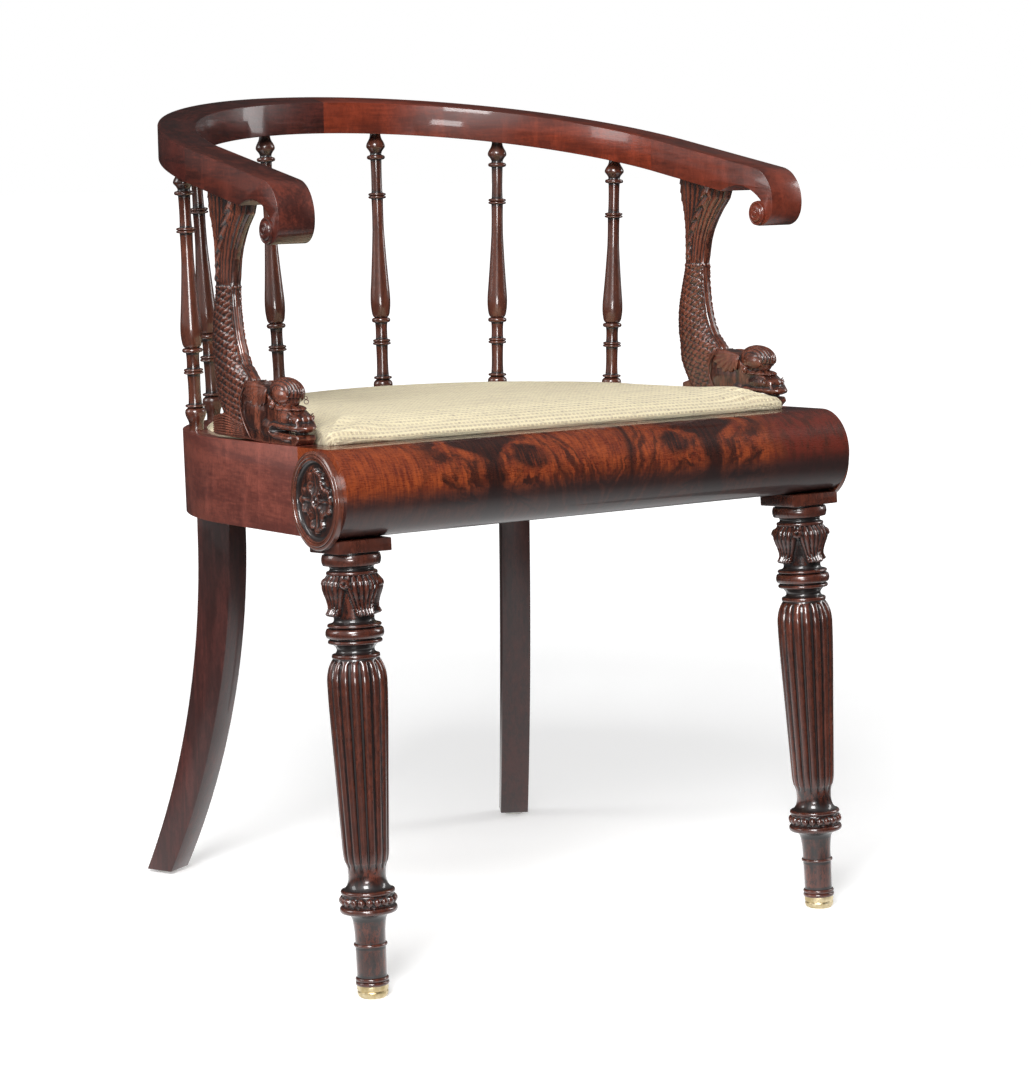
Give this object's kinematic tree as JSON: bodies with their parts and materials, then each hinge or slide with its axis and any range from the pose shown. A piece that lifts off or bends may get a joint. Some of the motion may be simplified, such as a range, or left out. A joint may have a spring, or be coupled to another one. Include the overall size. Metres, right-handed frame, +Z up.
{
  "type": "tub desk armchair",
  "caption": "Low-backed tub armchair with a horseshoe crest rail on turned spindles, carved fish-shaped arm supports, reeded front legs, sabre rear legs and a drop-in seat.",
  "frame": {"origin": "on the floor, under the middle of the chair's overall box", "axes": "+Z up, +Y towards the back, +X towards the sitter's left"},
  "size_m": [0.5462, 0.5379, 0.7527],
  "materials": {
    "mahogany": "polished reddish brown mahogany",
    "beech": "bare pale hardwood",
    "cap_brass": "worn polished brass",
    "glide_steel": "dull pressed steel",
    "jute": "plain woven webbing",
    "seat_fabric": "cream woven cloth in fine rows"
  },
  "bodies": {
    "frame": {"front_rail": "mahogany", "side_rail_left": "mahogany", "side_rail_right": "mahogany", "back_rail": "mahogany", "crest_left": "mahogany", "crest_right": "mahogany", "arm_left": "mahogany", "arm_right": "mahogany", "front_leg_left": "mahogany", "front_leg_right": "mahogany", "rear_leg_left": "mahogany", "rear_leg_right": "mahogany", "roundel_left": "mahogany", "roundel_right": "mahogany", "dolphin_left": "mahogany", "dolphin_right": "mahogany", "spindle_1": "mahogany", "spindle_2": "mahogany", "spindle_3": "mahogany", "spindle_4": "mahogany", "spindle_5": "mahogany", "spindle_6": "mahogany", "corner_block_left": "beech", "corner_block_right": "beech", "front_cap_left": "cap_brass", "front_cap_right": "cap_brass", "rear_glide_left": "glide_steel", "rear_glide_right": "glide_steel"},
    "drop_in_seat": {"seat_board_front": "beech", "seat_board_left": "beech", "seat_board_right": "beech", "seat_board_back": "beech", "webbing": "jute", "cushion": "seat_fabric"}
  },
  "joints": [
    {"name": "seat_lift", "type": "slide", "parent": "frame", "child": "drop_in_seat", "axis": [0, 0.0349, 0.9994], "range_m": [0, 0.1]}
  ]
}
